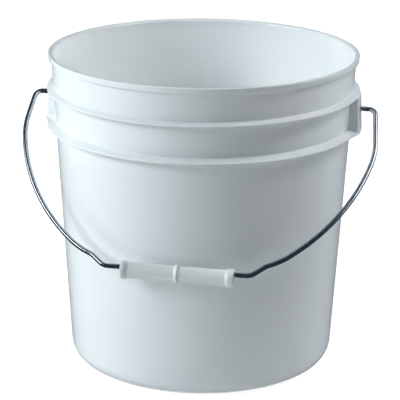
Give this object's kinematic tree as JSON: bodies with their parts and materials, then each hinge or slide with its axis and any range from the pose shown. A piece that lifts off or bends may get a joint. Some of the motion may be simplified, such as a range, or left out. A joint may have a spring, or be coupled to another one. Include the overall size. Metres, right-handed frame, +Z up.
{
  "type": "bucket",
  "caption": "Open-top tapered white plastic pail with a beaded rim, ring ribs and ears, and a hinged steel wire bail carrying a loose plastic hand grip.",
  "frame": {"origin": "centre of the foot ring, on the surface the pail stands on", "axes": "+Z up through the mouth, +X along the bail's pivot axis through both ears, -Y towards the side the bail rests on"},
  "size_m": [0.2789, 0.2467, 0.248],
  "materials": {
    "pail_plastic": "cool white moulded polyethylene with a soft satin gloss",
    "bail_wire": "bright drawn and zinc plated wire",
    "grip_plastic": "milky, slightly translucent polyethylene"
  },
  "bodies": {
    "bucket": {"bucket_body": "pail_plastic"},
    "bail": {"wire_bail": "bail_wire"},
    "grip": {"hand_grip": "grip_plastic"}
  },
  "joints": [
    {"name": "bail_swing", "type": "hinge", "parent": "bucket", "child": "bail", "pos_m": [0, 0, 0.2087], "axis": [-1, 0, 0], "range_deg": [0, 260.8]},
    {"name": "grip_spin", "type": "hinge", "parent": "bail", "child": "grip", "pos_m": [0.0031, -0.11781, 0.10574], "axis": [0.9999, 0, -0.0131], "continuous": true}
  ]
}
